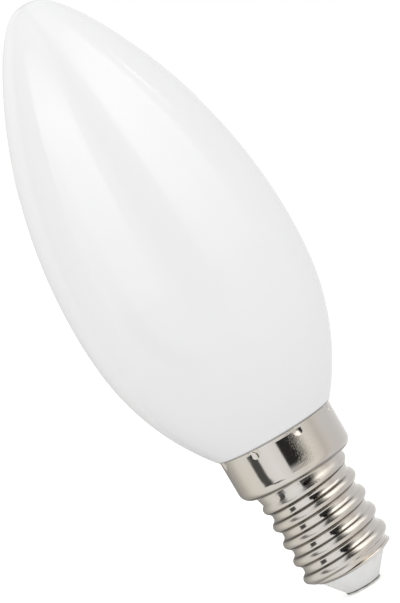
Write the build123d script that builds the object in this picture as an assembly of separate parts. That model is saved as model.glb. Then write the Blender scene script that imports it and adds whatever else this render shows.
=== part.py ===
from build123d import *
import os
from math import acos, atan2, cos, degrees, radians, sin, tan

# LED candle lamp: an opal glass bulb on a small Edison screw cap (E14).
# Millimetres. The axis is +Z, from the centre contact's end face at the origin up to the tip.

# Whole lamp
overall_length = 93.6
rim_height = 25.3

# Opal glass bulb: tangent arcs, with how far some have turned from the axis at their ends.
# The flank turns this much less than one arc would that goes from the belly to the nose.
bulb_diameter = 34.1
belly_height = 50.3
flank_ease = 5.6
shoulder_turn = 43
nose_radius = 5.0
belly_turn = 6
rim_turn = 38.5
glass_overhang = 0.25
glass_edge_round = 0.45
glass_neck_clearance = 1.2

# Collar of the screw shell, which is drawn and rolled from one sheet
shell_wall = 0.25
collar_diameter = 17.56
collar_draft = 0.08
collar_bottom_height = 18.45
neck_crease_radius = 0.3
rim_flare = 0.05
rim_flare_height = 0.5

# Rolled thread, right-handed, with its crest at thread_crest_height on the +X side
thread_major_diameter = 13.89
thread_depth = 0.8
thread_pitch = 2.822
thread_crest_height = 6.23
thread_land_rise = 0.04
thread_runout_length = 2.85

# Lip of the shell, turned in under the last thread
lip_height = 3.4
lip_diameter = 10.4
lip_turn_radius = 1.6
thread_end_angle = 60

# Crimps that hold the collar on the glass, each with a punch mark in its middle
crimp_count = 8
first_crimp_angle = 19
crimp_drop = 0.55
crimp_depth = 0.3
crimp_nose_radius = 1.6
punch_depth = 0.12
punch_length = 0.5

# Insulator and centre contact
insulator_end_height = 0.42
insulator_flange_thickness = 1.6
contact_diameter = 5.32
contact_edge_round = 0.15
shank_diameter = 2.0
shank_projection = 0.6

# Clearances
cement_gap = 0.05
insulator_gap = 0.05
shank_gap = 0.05

# Radii and heights that follow
bulb_radius = bulb_diameter / 2
collar_radius = collar_diameter / 2
collar_bottom_radius = collar_radius - collar_draft
glass_edge_radius = collar_radius + glass_overhang
glass_neck_radius = collar_bottom_radius - shell_wall - crimp_depth - cement_gap
major_radius = thread_major_diameter / 2
root_radius = major_radius - thread_depth
core_radius = root_radius + thread_land_rise
collar_corner_radius = collar_bottom_radius - major_radius - neck_crease_radius
lip_radius = lip_diameter / 2
lip_angle = acos((lip_radius - core_radius + lip_turn_radius) / lip_turn_radius)
turn_height = lip_height + lip_turn_radius * sin(lip_angle)
ridge_back_radius = lip_radius + shell_wall / 2
flange_height = turn_height + insulator_flange_thickness


def turned(outline, *roundings):
    """Solid turned about Z from an outline of (radius, height), and its roundings of corners."""
    section = make_face(outline)
    for corner, radius in roundings:
        section = fillet(section.vertices().sort_by_distance(corner)[0], radius)
    return revolve(Plane.XZ * section, Axis.Z)


def pair_radii(inward, along, turn, end_turn):
    """Radii of two tangent arcs that leave the axis's direction and turn towards the axis.

    The first turns to one angle and the second on to another. Together they go this far
    inward and this far along the axis, which settles both radii.
    """
    first_in = 1 - cos(radians(turn))
    first_along = sin(radians(turn))
    second_in = cos(radians(turn)) - cos(radians(end_turn))
    second_along = sin(radians(end_turn)) - first_along
    scale = first_in * second_along - second_in * first_along
    first = (inward * second_along - along * second_in) / scale
    second = (along * first_in - inward * first_along) / scale
    return first, second


def opal_bulb():
    """Sealed opal bulb, which sits on the collar's rim, with its neck inside the collar."""
    nose_height = overall_length - nose_radius
    nose_start_radius = nose_radius * cos(radians(shoulder_turn))
    nose_start_height = nose_height + nose_radius * sin(radians(shoulder_turn))
    inward = bulb_radius - nose_start_radius
    along = nose_start_height - belly_height
    flank_turn = 2 * degrees(atan2(inward, along)) - flank_ease
    flank_radius, shoulder_radius = pair_radii(inward, along, flank_turn, shoulder_turn)
    belly_radius, base_radius = pair_radii(
        bulb_radius - glass_edge_radius, belly_height - rim_height, belly_turn, rim_turn
    )
    widest = (bulb_radius, belly_height)
    flank = JernArc(widest, (0, 1), flank_radius, flank_turn)
    shoulder = JernArc(flank @ 1, flank % 1, shoulder_radius, shoulder_turn - flank_turn)
    nose = JernArc(shoulder @ 1, shoulder % 1, nose_radius, 90 - shoulder_turn)
    belly = JernArc(widest, (0, -1), belly_radius, -belly_turn)
    base = JernArc(belly @ 1, belly % 1, base_radius, belly_turn - rim_turn)
    neck_end = (glass_neck_radius, collar_bottom_height + shell_wall + glass_neck_clearance)
    neck = Polyline(nose @ 1, (0, neck_end[1]), neck_end, (glass_neck_radius, rim_height), base @ 1)
    edge = (glass_edge_radius, rim_height)
    outline = [flank, shoulder, nose, neck, base, belly]
    return turned(outline, (edge, glass_edge_round), (neck_end, glass_edge_round))


def thread_ridge(inset):
    """Right-hand ridge of the rolled thread, or its back at an inset of the sheet's wall.

    A crest arc lies between two halves of root arcs, which share its radius on the skin and
    meet it, tangent, a quarter of a pitch from the crest. They stop at the core, a little
    above their lowest point, and the ridge reaches inwards from there into the lip's arc.
    """
    quarter = thread_pitch / 4
    arc_radius = (quarter**2 + (thread_depth / 2) ** 2) / thread_depth
    root_centre = root_radius + arc_radius
    crest_centre = major_radius - arc_radius
    foot_radius = core_radius - inset
    flank_angle = atan2(quarter, arc_radius - thread_depth / 2)
    foot_angle = acos((root_centre - foot_radius) / (arc_radius + inset))
    crest_radius = arc_radius - inset
    flank = (crest_centre + crest_radius * cos(flank_angle), crest_radius * sin(flank_angle))

    def root_point(angle, side):
        height = thread_pitch / 2 - (arc_radius + inset) * sin(angle)
        return root_centre - (arc_radius + inset) * cos(angle), side * height

    def root_arc(side):
        middle = root_point((foot_angle + flank_angle) / 2, side)
        return ThreePointArc(root_point(foot_angle, side), middle, (flank[0], side * flank[1]))

    upper, lower = root_arc(1), root_arc(-1)
    crest = ThreePointArc(upper @ 1, (major_radius - inset, 0), lower @ 1)
    top = (upper @ 0).Y
    back = Polyline(lower @ 0, (ridge_back_radius, -top), (ridge_back_radius, top), upper @ 0)
    section = Plane.XZ * make_face([upper, crest, lower, back])
    turns_below = int((thread_crest_height - lip_height) / thread_pitch) + 1
    start_height = thread_crest_height - turns_below * thread_pitch
    path = Helix(thread_pitch, collar_bottom_height + shell_wall - start_height, core_radius)
    ridge = Pos(0, 0, start_height) * sweep(section, path=path, is_frenet=True)
    return ridge & thread_limit(inset)


def thread_limit(inset):
    """Space above the lip, down to a cone at the lip's edge, where the last thread ends."""
    low = lip_height + inset / sin(radians(thread_end_angle))
    reach = collar_radius
    cone_top = low + (reach - lip_radius) / tan(radians(thread_end_angle))
    outline = Polyline(
        (0, low), (lip_radius, low), (reach, cone_top), (reach, rim_height), (0, rim_height), close=True
    )
    return turned(outline)


def lip_arc(inset):
    """Arc of the turned-in lip, from its edge to the core, moved inwards by an inset."""
    radius = lip_turn_radius - inset
    centre_radius = core_radius - lip_turn_radius
    angles = [lip_angle, lip_angle / 2, 0]
    points = [(centre_radius + radius * cos(a), turn_height - radius * sin(a)) for a in angles]
    return ThreePointArc(*points)


def shell_form(inset, past=0):
    """Solid up to the shell's skin, or up to the inside of its wall at an inset of the wall.

    It stops at the rim and the lip's edge, or runs past both by a length, to open them.
    """
    lip = lip_arc(inset)
    low = lip @ 0 + Vector(cos(lip_angle), -sin(lip_angle)) * past
    neck = (major_radius - inset, collar_bottom_height + inset)
    corner = (collar_bottom_radius - inset, collar_bottom_height + inset)
    side = [
        lip @ 1,
        (core_radius - inset, collar_bottom_height - thread_runout_length),
        neck,
        corner,
        (collar_radius - rim_flare - inset, rim_height - rim_flare_height),
        (collar_radius + rim_flare * past / rim_flare_height - inset, rim_height + past),
        (0, rim_height + past),
        (0, low.Y),
        low,
    ]
    if past:
        side.append(lip @ 0)
    roundings = (neck, neck_crease_radius + inset), (corner, collar_corner_radius - inset)
    return turned([lip, Polyline(*side)], *roundings)


def at_crimps(tool):
    """Copies of a tool that points at the axis from +X, one at the height and turn of each crimp."""
    turn = 360 / crimp_count
    raised = Pos(0, 0, rim_height - crimp_drop) * tool
    return [Rot(0, 0, first_crimp_angle + index * turn) * raised for index in range(crimp_count)]


def screw_shell():
    """Plated shell in one piece: crimped collar, rolled thread and turned-in lip."""
    nose_centre = Pos(collar_radius - crimp_depth + crimp_nose_radius, 0, 0)
    dents = at_crimps(nose_centre * Sphere(crimp_nose_radius))
    backs = at_crimps(nose_centre * Sphere(crimp_nose_radius + shell_wall))
    punch_tip_radius = collar_radius - crimp_depth - punch_depth
    punch = Pos(punch_tip_radius + punch_length / 2, 0, 0) * Rot(0, 90, 0)
    punches = at_crimps(punch * Cone(0, punch_length, punch_length))
    skin = shell_form(0) + thread_ridge(0)
    hollow = shell_form(shell_wall, past=2 * shell_wall) + thread_ridge(shell_wall)
    return skin - (hollow - backs) - dents - punches


def insulator():
    """White insulating plug, held by the lip, with a hole for the contact's shank."""
    seat = lip_arc(shell_wall + insulator_gap)
    hole_radius = shank_diameter / 2 + shank_gap
    side = Polyline(
        seat @ 1,
        ((seat @ 1).X, flange_height),
        (hole_radius, flange_height),
        (hole_radius, insulator_end_height),
        (contact_diameter / 2, insulator_end_height),
        ((seat @ 0).X, lip_height),
        seat @ 0,
    )
    return turned([seat, side])


def centre_contact():
    """Centre contact: a disc with a rounded edge under the insulator, on a shank through it."""
    contact_radius = contact_diameter / 2
    shank_radius = shank_diameter / 2
    shank_end = flange_height + shank_projection
    edge = (contact_radius, 0)
    side = Polyline(
        (0, 0),
        edge,
        (contact_radius, insulator_end_height),
        (shank_radius, insulator_end_height),
        (shank_radius, shank_end),
        (0, shank_end),
        close=True,
    )
    return turned(side, (edge, contact_edge_round))


os.makedirs("parts", exist_ok=True)
for piece in opal_bulb, screw_shell, insulator, centre_contact:
    export_step(piece(), f"parts/{piece.__name__}.step")
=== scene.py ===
from math import cos, pi, radians, sin, tan

import bmesh
import bpy
from bpy.props import FloatProperty, FloatVectorProperty, PointerProperty
from bpy.types import Operator, Panel, PropertyGroup
from mathutils import Matrix, Vector


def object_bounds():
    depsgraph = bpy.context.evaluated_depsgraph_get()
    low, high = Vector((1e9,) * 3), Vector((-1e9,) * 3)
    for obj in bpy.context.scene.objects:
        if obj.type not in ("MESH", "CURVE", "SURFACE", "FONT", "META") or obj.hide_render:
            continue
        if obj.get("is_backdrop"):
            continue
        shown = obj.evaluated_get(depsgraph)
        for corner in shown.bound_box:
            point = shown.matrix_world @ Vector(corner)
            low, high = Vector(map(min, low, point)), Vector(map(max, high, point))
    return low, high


bl_info = {
    "name": "LED Candle Bulb",
    "version": (1, 0, 0),
    "blender": (4, 5, 0),
    "location": "3D View > Sidebar > Candle Bulb",
    "description": "Finishes of an opal candle bulb on a small screw cap, and its studio",
    "category": "Object",
}

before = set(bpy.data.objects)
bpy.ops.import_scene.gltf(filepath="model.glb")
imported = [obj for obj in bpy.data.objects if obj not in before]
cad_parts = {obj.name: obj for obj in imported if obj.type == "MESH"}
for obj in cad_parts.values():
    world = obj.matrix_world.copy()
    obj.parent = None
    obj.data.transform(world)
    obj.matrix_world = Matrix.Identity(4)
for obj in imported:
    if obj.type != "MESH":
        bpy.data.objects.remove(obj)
cad_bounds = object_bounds()

# The picture in pixels, the pixel that shows the camera's target, and the sensor's width in mm
PICTURE_SIZE = (400, 603)
TARGET_PIXEL = (197.01, 300.0)
SENSOR = 36.0

# Height in metres of the bulb's middle, which the studio's lamps face
MIDDLE = 0.046

# The screw shell in millimetres, as the solids have it
THREAD_PITCH = 2.822
CREST_RADIUS = 6.945
COLLAR_BOTTOM = 18.45
RIM = 25.3

# Height in millimetres, turned to bearing 0, where the thread's last turn gives way to the neck
NECK = 16.7


# Shader graph

class Wire:
    """A socket of a node tree that Python's operators do sums on, each with a Math node."""

    def __init__(self, tree, socket=None):
        self.tree = tree
        self.socket = socket

    def node(self, kind, settings=None, inputs=None, output=0):
        """Adds a node, with its settings first, then the values or links of its inputs."""
        made = self.tree.nodes.new(kind)
        settings = dict(settings or {})
        stops = settings.pop("stops", None)
        for name, value in settings.items():
            setattr(made, name, value)
        if stops:
            elements = made.color_ramp.elements
            elements[0].position, elements[1].position = stops[0][0], stops[-1][0]
            for place, _ in stops[1:-1]:
                elements.new(place)
            for element, (_, shade) in zip(elements, stops):
                element.color = shade
        for key, value in (inputs or {}).items():
            if isinstance(value, Wire):
                self.tree.links.new(value.socket, made.inputs[key])
            else:
                made.inputs[key].default_value = value
        return Wire(self.tree, made.outputs[output]) if len(made.outputs) else None

    def math(self, operation, *values):
        return self.node("ShaderNodeMath", {"operation": operation}, dict(enumerate(values)))

    def __add__(self, other):
        return self.math("ADD", self, other)

    def __sub__(self, other):
        return self.math("SUBTRACT", self, other)

    def __mul__(self, other):
        return self.math("MULTIPLY", self, other)

    def __truediv__(self, other):
        return self.math("DIVIDE", self, other)

    def __rsub__(self, other):
        return self.math("SUBTRACT", other, self)

    def __rtruediv__(self, other):
        return self.math("DIVIDE", other, self)

    __radd__ = __add__
    __rmul__ = __mul__


def new_material(name):
    """A material with an empty tree, and the wire that its nodes start from."""
    material = bpy.data.materials.new(name)
    material.use_nodes = True
    material.node_tree.nodes.clear()
    return material, Wire(material.node_tree)


def millimetres(wire, times=(1, 1, 1)):
    """The point on the part in millimetres, in the part's own frame, times a factor on each axis."""
    point = wire.node("ShaderNodeTexCoord", output="Object")
    scale = Vector(times) * 1000
    return wire.node("ShaderNodeVectorMath", {"operation": "MULTIPLY"}, {0: point, 1: scale})


def split(vector):
    """The three numbers of a vector."""
    parts = vector.node("ShaderNodeSeparateXYZ", inputs={0: vector})
    outputs = parts.socket.node.outputs
    return [Wire(vector.tree, outputs[axis]) for axis in "XYZ"]


def bearing_of(x, y):
    """Degrees round the axis, with 0 towards the camera and 90 to the right."""
    return x.math("ARCTAN2", x, y * -1.0) / pi * 180.0


def distance_from_axis(x, y):
    """How far a point is from the axis."""
    return x.math("SQRT", x * x + y * y)


def noise(wire, waves, detail=2.0, roughness=0.5):
    """Noise with these numbers of waves per millimetre of the part."""
    inputs = {"Vector": millimetres(wire, waves), "Scale": 1.0, "Detail": detail, "Roughness": roughness}
    return wire.node("ShaderNodeTexNoise", inputs=inputs)


def ease(value, low, high):
    """A smooth step from 0 at low to 1 at high, which may be the lower of the two."""
    if low > high:
        return 1 - ease(value, high, low)
    inputs = {"Value": value, "From Min": low, "From Max": high}
    return value.node("ShaderNodeMapRange", {"interpolation_type": "SMOOTHSTEP"}, inputs)


def tint(factor, first, second):
    """A colour that goes from the first to the second with the factor."""
    colours = [c if isinstance(c, Wire) else (*c[:3], 1) for c in (first, second)]
    inputs = {0: factor, 6: colours[0], 7: colours[1]}
    return factor.node("ShaderNodeMix", {"data_type": "RGBA"}, inputs, output=2)


def shaded(colour, *shares):
    """A colour with each of its channels at a share of what it was."""
    return [channel * share for channel, share in zip(colour, shares)]


def bump(height, depth=1.0):
    """The normal of a surface that stands proud by its height times a depth in millimetres."""
    return height.node("ShaderNodeBump", inputs={"Strength": 1.0, "Distance": depth / 1000, "Height": height})


def finish_with(wire, **inputs):
    """A Principled surface on the tree's output. Its inputs are named in words with underscores."""
    named = {key.replace("_", " "): value for key, value in inputs.items()}
    surface = wire.node("ShaderNodeBsdfPrincipled", inputs=named)
    wire.node("ShaderNodeOutputMaterial", inputs={"Surface": surface})


# Finishes

def opal_glass(settings):
    """Opal glass: white with the faintest clouding, under a smooth gloss with a slight waviness."""
    material, wire = new_material("opal glass")
    height = split(millimetres(wire))[2]
    clouding = noise(wire, (0.07, 0.07, 0.05), 3)
    grain = noise(wire, (3, 3, 3), 2)
    waviness = noise(wire, (0.16, 0.16, 0.1), 2)
    clouds = ease(clouding + 0.35 * grain, 0.35, 1.0) * 0.35
    white = settings.glass_colour
    clouded = tint(clouds, white, shaded(white, 0.965, 0.968, 0.972))
    # Painted shade: the glass turns grey in the gap where it meets the collar's rim
    rim_gap_shade = ease(height, RIM + 0.32, RIM + 0.1)
    finish_with(
        wire,
        Base_Color=tint(rim_gap_shade, clouded, (0.4, 0.4, 0.4)),
        Roughness=settings.glass_roughness + 0.03 * grain,
        IOR=settings.glass_index,
        Normal=bump(waviness, 0.03),
    )
    return material


def nickel_plate(settings):
    """Bright nickel with rolling marks, a pitted patch, dull crests, and painted shade in the folds, under
    the collar and at the rim.
    """
    material, wire = new_material("nickel plate")
    x, y, z = split(millimetres(wire))
    radius = distance_from_axis(x, y)
    bearing = bearing_of(x, y)
    # A point's height if the thread were turned with it to bearing 0
    turned_height = z - bearing * (THREAD_PITCH / 360)
    on_neck = ease(turned_height, NECK, NECK + 0.15) * ease(bearing, -160, -100)
    on_thread = ease(z, COLLAR_BOTTOM - 0.15, COLLAR_BOTTOM - 0.55)
    # Painted shade, darker in the thread's folds where the flanks are steep
    fold_shade = thread_fold_shade(wire, z, bearing, turned_height, on_neck) * on_thread
    crest = ease(radius, CREST_RADIUS - 0.285, CREST_RADIUS - 0.045) * on_thread
    # Painted shade in the concave crease under the collar
    over_crease = ease(z, COLLAR_BOTTOM + 0.05, COLLAR_BOTTOM + 0.3)
    collar_crease_shade = over_crease * ease(z, COLLAR_BOTTOM + 0.7, COLLAR_BOTTOM + 0.45)
    # Painted shade at the top of the rim, in the gap under the glass
    rim_gap_shade = ease(z, RIM - 0.14, RIM - 0.06)
    # The painted shade of the folds, the crease under the collar and the rim darkens the plate's colour
    painted_shade = fold_shade + 0.65 * collar_crease_shade + 0.6 * rim_gap_shade

    patches = noise(wire, (0.11, 0.11, 0.16), 3)
    rings = noise(wire, (0.25, 0.25, 9), 3)
    grain = noise(wire, (7, 7, 7), 3, 0.6)
    pits = noise(wire, (5, 5, 5), 2)
    up_collar = ease(z, COLLAR_BOTTOM + 1.05, COLLAR_BOTTOM + 2.05)
    pitted = ease(bearing, 2, 9) * ease(bearing, 40, 20) * up_collar
    plate = settings.nickel_colour
    bright = tint(ease(patches, 0.35, 0.7), plate, shaded(plate, 0.99, 0.975, 0.95))
    flecked = tint(ease(grain, 0.68, 0.76) * 0.25, bright, (0.42, 0.37, 0.31))

    roughness = settings.nickel_roughness + 0.05 * rings + 0.06 * patches * grain
    dullness = 0.14 * crest + 0.2 * fold_shade + 0.2 * ease(pits, 0.5, 0.62) * pitted
    marks = 0.014 * pits * pitted + 0.0022 * (rings * 0.7 + grain * 0.5)
    finish_with(
        wire,
        Base_Color=tint(painted_shade, flecked, (0.1, 0.088, 0.075)),
        Metallic=1.0,
        Roughness=roughness + dullness,
        Normal=bump(rolled_in(z, settings) + neck_fill(radius, turned_height, on_neck) + marks),
    )
    return material


def thread_fold_shade(wire, z, bearing, turned_height, on_neck):
    """Painted shade in the thread's folds, where its flanks are steep: faint above each crest at the right.
    """
    steepness = split(wire.node("ShaderNodeTexCoord", output="Normal"))[2]
    above = ease(steepness, 0.55, 0.82) * (0.8 - 0.65 * ease(bearing, 2, 12)) * (1 - on_neck)
    last_fold = ease(turned_height, NECK - 0.8, NECK - 0.6)
    clear_of_lip = ease(z, 5.6, 6.3)
    below = ease(steepness - 0.1 * last_fold, -0.62, -0.78) * clear_of_lip * 0.9
    return above + below


def rolled_in(z, settings):
    """Height in millimetres that shows the slight inward curve of the collar's lower wall."""
    low, high = settings.rolled_in_low * 1000, settings.rolled_in_high * 1000
    return ease(z, low, high) * (settings.rolled_in_depth * 1000)


def neck_fill(radius, turned_height, on_neck):
    """Height in millimetres that smooths the neck, from the collar down to the first full turn."""
    neck_radius = CREST_RADIUS - 0.16 * ease(turned_height, NECK, NECK + 1.2)
    inside_crest = ease(radius, CREST_RADIUS + 0.045, CREST_RADIUS + 0.005)
    return (neck_radius - radius) * on_neck * inside_crest


def white_insulator(settings):
    """Moulded white insulator: matt, finely grained, a little grey at its end."""
    material, wire = new_material("white insulator")
    height = split(millimetres(wire))[2]
    patches = noise(wire, (0.5, 0.5, 0.7), 4)
    grain = noise(wire, (9, 9, 9), 3, 0.65)
    specks = ease(noise(wire, (4, 4, 4), 1), 0.72, 0.78)
    near_end = ease(height, 1.2, 0.4)
    scuffed = ease(patches, 0.45, 0.75) * 0.5 + near_end * 0.4 + specks * 0.3
    white = settings.insulator_colour
    finish_with(
        wire,
        Base_Color=tint(scuffed, white, shaded(white, 0.9, 0.89, 0.87)),
        Roughness=0.42 + 0.2 * patches,
        IOR=1.5,
        Normal=bump(grain * 0.8 + patches, 0.012),
    )
    return material


def contact_metal(settings):
    """Turned contact disc: fine rings, patchy tarnish, a rubbed middle and a dark joint."""
    material, wire = new_material("contact metal")
    x, y, z = split(millimetres(wire))
    radius = distance_from_axis(x, y)
    # The rings left by turning, 0.15 mm apart
    rings = radius.math("SINE", radius * 42.0) * 0.5 + 0.5
    patches = noise(wire, (1.1, 1.1, 1.1), 4)
    scratches = noise(wire, (9, 1.2, 3), 3, 0.7)
    rubbed = ease(radius + patches, 1.9, 0.9)
    tarnish = ease(patches, 0.42, 0.7) * (1 - rubbed)
    joint = ease(z, 0.24, 0.3) * ease(patches, 0.8, 0.62)
    metal = settings.contact_colour
    worn = tint(tarnish * 0.4, metal, shaded(metal, 0.8, 0.77, 0.72))
    finish_with(
        wire,
        Base_Color=tint(joint, worn, (0.1, 0.1, 0.1)),
        Metallic=1.0,
        Roughness=0.34 - 0.12 * rubbed + 0.15 * tarnish,
        Normal=bump(rings * 0.5 + scratches, 0.004),
    )
    return material


def floor_finish(settings):
    """Pale paper floor. It shows white to the camera and in the metal, and keeps its shadows."""
    material, wire = new_material("studio floor")
    path = wire.node("ShaderNodeLightPath")
    outputs = path.socket.node.outputs
    looks = ("Is Camera Ray", "Is Glossy Ray", "Is Transmission Ray")
    camera, glossy, through = [Wire(wire.tree, outputs[name]) for name in looks]
    fibres = noise(wire, (0.3, 0.3, 0.3), 4)
    paper = settings.floor_colour
    finish_with(
        wire,
        Base_Color=tint(fibres, paper, shaded(paper, 0.985, 0.985, 0.985)),
        Roughness=1.0,
        Specular_IOR_Level=0.0,
        Emission_Color=tint(camera + glossy + through, (0, 0, 0), (1, 1, 1)),
        Emission_Strength=settings.floor_glow,
    )
    return material


# Studio

def reflected_studio(wire, settings):
    """The studio that the metal reflects: its colour and its brightness, by direction.

    Bearings are degrees round the bulb, with 0 towards the camera and 90 to the right, and
    rises are degrees above the horizon. Pale walls stand all round, with a tall soft box at
    the right, a dark flag in front and a slanting dark strip at the left.
    """
    x, y, z = split(wire.node("ShaderNodeTexCoord", output="Generated"))
    bearing = bearing_of(x, y)
    rise = z.math("ARCSINE", z) / pi * 180.0
    walls = (
        (-180, (0.70, 0.69, 0.67)),
        (-165, (0.36, 0.35, 0.34)),
        (-150, (0.38, 0.37, 0.36)),
        (-125, (0.57, 0.56, 0.53)),
        (-105, (0.84, 0.83, 0.79)),
        (-88, (0.90, 0.89, 0.86)),
        (-60, (0.90, 0.90, 0.89)),
        (-30, (1.00, 1.00, 1.02)),
        (-12, (0.92, 0.92, 0.94)),
        (20, (0.84, 0.82, 0.78)),
        (45, (0.93, 0.91, 0.87)),
        (58, (0.82, 0.80, 0.77)),
        (70, (0.68, 0.66, 0.64)),
        (85, (0.76, 0.75, 0.75)),
        (115, (0.74, 0.74, 0.76)),
        (148, (0.84, 0.84, 0.86)),
        (165, (1.00, 1.00, 1.00)),
        (180, (0.70, 0.69, 0.67)),
    )
    stops = [(place / 360 + 0.5, (*shade, 1)) for place, shade in walls]
    colour = wire.node("ShaderNodeValToRGB", {"stops": stops}, {0: bearing / 360.0 + 0.5})
    # The flag's right edge is soft, and leans left as it rises
    right_edge = ease(bearing + 11 * ease(rise, 0, 25), 46, 14)
    darkness = 0.97 + 0.025 * ease(rise, -5, 0)
    flag = ease(bearing, -10, -7) * right_edge * ease(rise, -17, -13) * darkness
    # The strip's middle is at bearing -62, and leans left above a rise of -8 and right below -13
    above = rise.math("MAXIMUM", rise + 8.0, 0.0)
    below = rise.math("MAXIMUM", -13.0 - rise, 0.0)
    aside = bearing + 62.0 + above * 0.35 - below * 1.6
    strip = ease(aside.math("ABSOLUTE", aside), 11, 7.5) * ease(rise, -34, -25) * ease(rise, 38, 26)
    ceiling = 1 - 0.6 * ease(rise, 72, 88) * ease(x, 0.2, 0.05)
    box = ease(bearing, 18, 33) * ease(bearing, 104, 80) * ease(rise, -1, 19)
    lit = (1 - flag) * (1 - 0.9 * strip) * ceiling * 0.88
    return colour, lit * (1 + settings.right_box * box)


def surroundings(settings):
    """The studio's walls: white to the camera, even soft light, and a studio in reflections."""
    world = bpy.data.worlds.new("studio walls")
    bpy.context.scene.world = world
    world.use_nodes = True
    world.node_tree.nodes.clear()
    wire = Wire(world.node_tree)
    colour, strength = reflected_studio(wire, settings)
    reflected = wire.node("ShaderNodeBackground", inputs={"Color": colour, "Strength": strength})
    soft = wire.node("ShaderNodeBackground", inputs={"Color": (1, 1, 1, 1), "Strength": settings.ambient})
    white = wire.node("ShaderNodeBackground", inputs={"Color": (1, 1, 1, 1), "Strength": 1.0})
    path = wire.node("ShaderNodeLightPath")
    outputs = path.socket.node.outputs
    camera, glossy = [Wire(wire.tree, outputs[name]) for name in ("Is Camera Ray", "Is Glossy Ray")]
    dim = wire.node("ShaderNodeMixShader", inputs={0: glossy, 1: soft, 2: reflected})
    seen = wire.node("ShaderNodeMixShader", inputs={0: camera, 1: dim, 2: white})
    wire.node("ShaderNodeOutputWorld", inputs={"Surface": seen})


def gloss_panel(name, bearings, rises, radiance, receivers):
    """An upright soft panel that only the glass's gloss shows, brightest near its top.

    It spans two bearings and two rises in degrees, as the bulb's middle sees them.
    """
    distance = 0.6
    half_turn = radians(bearings[1] - bearings[0]) / 2
    bearing = radians(bearings[0] + bearings[1]) / 2
    low, high = (MIDDLE + distance * tan(radians(rise)) for rise in rises)
    data = bpy.data.lights.new(name, "AREA")
    data.shape = "RECTANGLE"
    data.size, data.size_y = 2 * distance * tan(half_turn), high - low
    data.energy = radiance * pi * data.size * data.size_y
    data.use_nodes = True
    data.node_tree.nodes.clear()
    wire = Wire(data.node_tree)
    height = split(wire.node("ShaderNodeNewGeometry"))[2]
    share = (height - low) / (high - low)
    glow = (0.2 + 0.8 * ease(share, -0.1, 0.62)) * ease(share, 1.0, 0.45)
    emission = wire.node("ShaderNodeEmission", inputs={"Strength": glow})
    wire.node("ShaderNodeOutputLight", inputs={"Surface": emission})
    lamp = bpy.data.objects.new(name, data)
    bpy.context.scene.collection.objects.link(lamp)
    way = Vector((sin(bearing), -cos(bearing), 0))
    lamp.location = way * distance + Vector((0, 0, (low + high) / 2))
    lamp.rotation_euler = way.to_track_quat("Z", "Y").to_euler()
    lamp.visible_diffuse = lamp.visible_camera = False
    lamp.light_linking.receiver_collection = receivers


def soft_lamp(name, bearing, rise, distance, size, power):
    """A square soft lamp that faces the bulb's middle and shows in no reflection."""
    data = bpy.data.lights.new(name, "AREA")
    data.shape = "SQUARE"
    data.size = size
    data.energy = power
    lamp = bpy.data.objects.new(name, data)
    bpy.context.scene.collection.objects.link(lamp)
    a, e = radians(bearing), radians(rise)
    way = Vector((sin(a) * cos(e), -cos(a) * cos(e), sin(e)))
    lamp.location = Vector((0, 0, MIDDLE)) + way * distance
    lamp.rotation_euler = way.to_track_quat("Z", "Y").to_euler()
    lamp.visible_glossy = False


# Settings that a user may change

class BulbFinishes(PropertyGroup):
    """Colours and finishes of the lamp's own pieces."""

    glass_colour: FloatVectorProperty(
        name="Glass", description="Colour of the opal glass", subtype="COLOR",
        size=3, min=0, max=1, default=(0.882, 0.882, 0.884),
    )
    glass_roughness: FloatProperty(
        name="Glass roughness", description="Roughness of the glass's gloss", min=0, max=1, default=0.1,
    )
    glass_index: FloatProperty(
        name="Glass index", description="Refractive index, which sets how strong the gloss is",
        min=1.3, max=2.5, default=1.38,
    )
    nickel_colour: FloatVectorProperty(
        name="Nickel", description="Colour of the plated shell", subtype="COLOR",
        size=3, min=0, max=1, default=(0.79, 0.752, 0.704),
    )
    nickel_roughness: FloatProperty(
        name="Nickel roughness", description="Roughness of the plating where it is bright",
        min=0, max=1, default=0.05,
    )
    rolled_in_low: FloatProperty(
        name="Rolled in to", description="Height on the collar where its slight inward curve ends",
        subtype="DISTANCE", unit="LENGTH", default=0.0189,
    )
    rolled_in_high: FloatProperty(
        name="Rolled in from", description="Height on the collar where its slight inward curve starts",
        subtype="DISTANCE", unit="LENGTH", default=0.0215,
    )
    rolled_in_depth: FloatProperty(
        name="Rolled in by", description="Depth of the collar's slight inward curve",
        subtype="DISTANCE", unit="LENGTH", min=0, default=0.00011,
    )
    insulator_colour: FloatVectorProperty(
        name="Insulator", description="Colour of the insulator", subtype="COLOR",
        size=3, min=0, max=1, default=(0.945, 0.945, 0.94),
    )
    contact_colour: FloatVectorProperty(
        name="Contact", description="Colour of the centre contact", subtype="COLOR",
        size=3, min=0, max=1, default=(0.9, 0.89, 0.87),
    )


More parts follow.
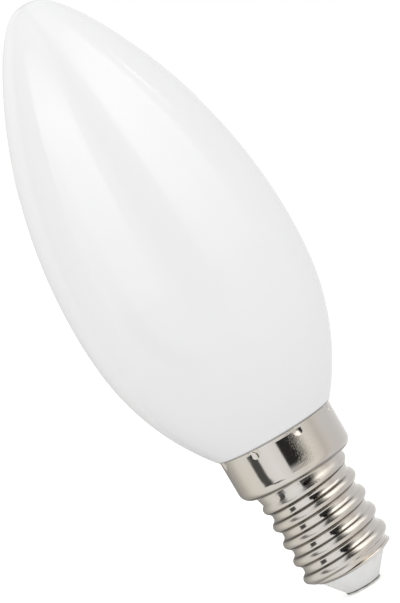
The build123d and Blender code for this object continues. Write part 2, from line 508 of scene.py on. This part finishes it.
class StudioSettings(PropertyGroup):
    """The floor, the light and the camera."""

    floor_colour: FloatVectorProperty(
        name="Floor", description="Colour of the paper floor", subtype="COLOR",
        size=3, min=0, max=1, default=(0.86, 0.86, 0.86),
    )
    floor_glow: FloatProperty(
        name="Floor glow", description="White added to the floor where it is seen", min=0, max=1, default=0.4,
    )
    floor_radius: FloatProperty(
        name="Floor radius", description="Radius of the floor", subtype="DISTANCE", unit="LENGTH",
        min=0.2, default=2.5,
    )
    ambient: FloatProperty(
        name="Ambient light", description="Even light from all round", min=0, max=2, default=0.95,
    )
    right_box: FloatProperty(
        name="Right box", description="Light that the right soft box adds to the wall behind it, in metal",
        min=0, default=0.95,
    )
    panel_gloss: FloatProperty(
        name="Panel gloss", description="Brightness of the soft panels in the glass's gloss",
        min=0, default=2.75,
    )
    target_height: FloatProperty(
        name="Target height", description="Height on the axis that the camera looks at",
        subtype="DISTANCE", unit="LENGTH", default=0.04637,
    )
    distance: FloatProperty(
        name="Camera distance", description="Distance from the camera to its target",
        subtype="DISTANCE", unit="LENGTH", min=0.1, default=0.4823,
    )
    elevation: FloatProperty(
        name="Elevation", description="Angle of the camera above the horizon",
        subtype="ANGLE", unit="ROTATION", default=radians(4.5),
    )
    tilt: FloatProperty(
        name="Tilt", description="How far the lamp leans to the left in the picture",
        subtype="ANGLE", unit="ROTATION", default=radians(30.344),
    )
    focal_pixels: FloatProperty(
        name="Focal length", description="Focal length in pixels of the picture", min=100, default=3480,
    )


# Operators

class BULB_OT_opal_glass(Operator):
    """Gives the bulb its opal glass"""

    bl_idname = "bulb.opal_glass"
    bl_label = "Opal glass bulb"

    def execute(self, context):
        dress("opal_bulb", opal_glass(context.scene.bulb_finishes))
        return {"FINISHED"}


class BULB_OT_screw_shell(Operator):
    """Gives the screw shell its nickel plate"""

    bl_idname = "bulb.screw_shell"
    bl_label = "Screw shell"

    def execute(self, context):
        dress("screw_shell", nickel_plate(context.scene.bulb_finishes))
        return {"FINISHED"}


class BULB_OT_insulator(Operator):
    """Gives the insulator its moulded finish"""

    bl_idname = "bulb.insulator"
    bl_label = "Insulator"

    def execute(self, context):
        dress("insulator", white_insulator(context.scene.bulb_finishes))
        return {"FINISHED"}


class BULB_OT_centre_contact(Operator):
    """Gives the centre contact its turned metal"""

    bl_idname = "bulb.centre_contact"
    bl_label = "Centre contact"

    def execute(self, context):
        dress("centre_contact", contact_metal(context.scene.bulb_finishes))
        return {"FINISHED"}


class BULB_OT_stage(Operator):
    """Makes the paper floor and the soft light"""

    bl_idname = "bulb.stage"
    bl_label = "Floor and light"

    def execute(self, context):
        settings = context.scene.bulb_studio
        mesh = bpy.data.meshes.new("floor")
        made = bmesh.new()
        bmesh.ops.create_circle(made, cap_ends=True, segments=96, radius=settings.floor_radius)
        made.to_mesh(mesh)
        made.free()
        floor = bpy.data.objects.new("floor", mesh)
        context.scene.collection.objects.link(floor)
        mesh.materials.append(floor_finish(settings))
        floor.visible_glossy = False
        floor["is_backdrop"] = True
        surroundings(settings)
        soft_lamp("key lamp", bearing=-40, rise=50, distance=0.9, size=0.7, power=0.45)
        soft_lamp("fill lamp", bearing=50, rise=40, distance=0.9, size=0.7, power=0.75)
        glass = bpy.data.collections.new("glass")
        glass.objects.link(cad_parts["opal_bulb"])
        panels = (
            ("left panel", (-79, -21), (-3, 60), 1),
            ("right panel", (25, 85), (-3, 60), 0.75),
            ("narrow panel", (96.5, 99.5), (22, 38), 1.6),
            ("back panel", (-172, -118), (-20, 60), 0.3),
        )
        for name, bearings, rises, share in panels:
            gloss_panel(name, bearings, rises, share * settings.panel_gloss, glass)
        return {"FINISHED"}


class BULB_OT_camera(Operator):
    """Places the camera where the picture was taken from"""

    bl_idname = "bulb.camera"
    bl_label = "Camera"

    def execute(self, context):
        settings = context.scene.bulb_studio
        data = bpy.data.cameras.new("camera")
        camera = bpy.data.objects.new("camera", data)
        context.scene.collection.objects.link(camera)
        e = settings.elevation
        back = Vector((0, -cos(e), sin(e)))
        right, up = Vector((1, 0, 0)), Vector((0, sin(e), cos(e)))
        roll = settings.tilt
        up, right = up * cos(roll) + right * sin(roll), right * cos(roll) - up * sin(roll)
        off_centre = (TARGET_PIXEL[0] - PICTURE_SIZE[0] / 2, PICTURE_SIZE[1] / 2 - TARGET_PIXEL[1])
        aim = -back - (right * off_centre[0] + up * off_centre[1]) / settings.focal_pixels
        aim.normalize()
        right = aim.cross(up).normalized()
        up = right.cross(aim)
        place = Vector((0, 0, settings.target_height)) + back * settings.distance
        turn = Matrix((right, up, -aim)).transposed().to_4x4()
        camera.matrix_world = Matrix.Translation(place) @ turn
        data.sensor_width = SENSOR
        data.lens = settings.focal_pixels * SENSOR / max(PICTURE_SIZE)
        data.clip_start, data.clip_end = 0.01, 20.0
        context.scene.camera = camera
        context.scene.view_settings.view_transform = "Standard"
        return {"FINISHED"}


def dress(node, material):
    """Puts a finish on a node of the CAD model, which keeps its mesh and its place."""
    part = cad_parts[node]
    if not part.material_slots:
        part.data.materials.append(material)
    for slot in part.material_slots:
        slot.material = material


class BULB_PT_sidebar(Panel):
    """Lists the lamp's pieces and their settings"""

    bl_idname = "BULB_PT_sidebar"
    bl_label = "Candle Bulb"
    bl_space_type = "VIEW_3D"
    bl_region_type = "UI"
    bl_category = "Candle Bulb"

    def draw(self, context):
        layout = self.layout
        for settings in (context.scene.bulb_finishes, context.scene.bulb_studio):
            box = layout.box()
            for name in settings.__annotations__:
                box.prop(settings, name)
        for operator in OPERATORS:
            layout.operator(operator.bl_idname)


OPERATORS = (
    BULB_OT_opal_glass,
    BULB_OT_screw_shell,
    BULB_OT_insulator,
    BULB_OT_centre_contact,
    BULB_OT_stage,
    BULB_OT_camera,
)
CLASSES = (BulbFinishes, StudioSettings, *OPERATORS, BULB_PT_sidebar)


def register():
    for cls in CLASSES:
        bpy.utils.register_class(cls)
    bpy.types.Scene.bulb_finishes = PointerProperty(type=BulbFinishes)
    bpy.types.Scene.bulb_studio = PointerProperty(type=StudioSettings)


def unregister():
    del bpy.types.Scene.bulb_studio
    del bpy.types.Scene.bulb_finishes
    for cls in reversed(CLASSES):
        bpy.utils.unregister_class(cls)


def main():
    """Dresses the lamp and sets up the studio."""
    register()
    bpy.ops.bulb.opal_glass()
    bpy.ops.bulb.screw_shell()
    bpy.ops.bulb.insulator()
    bpy.ops.bulb.centre_contact()
    bpy.ops.bulb.stage()
    bpy.ops.bulb.camera()
    boxes = {"cad": cad_bounds, "visual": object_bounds()}
    boxes = {name: [list(corner) for corner in box] for name, box in boxes.items()}


if __name__ == "__main__":
    main()
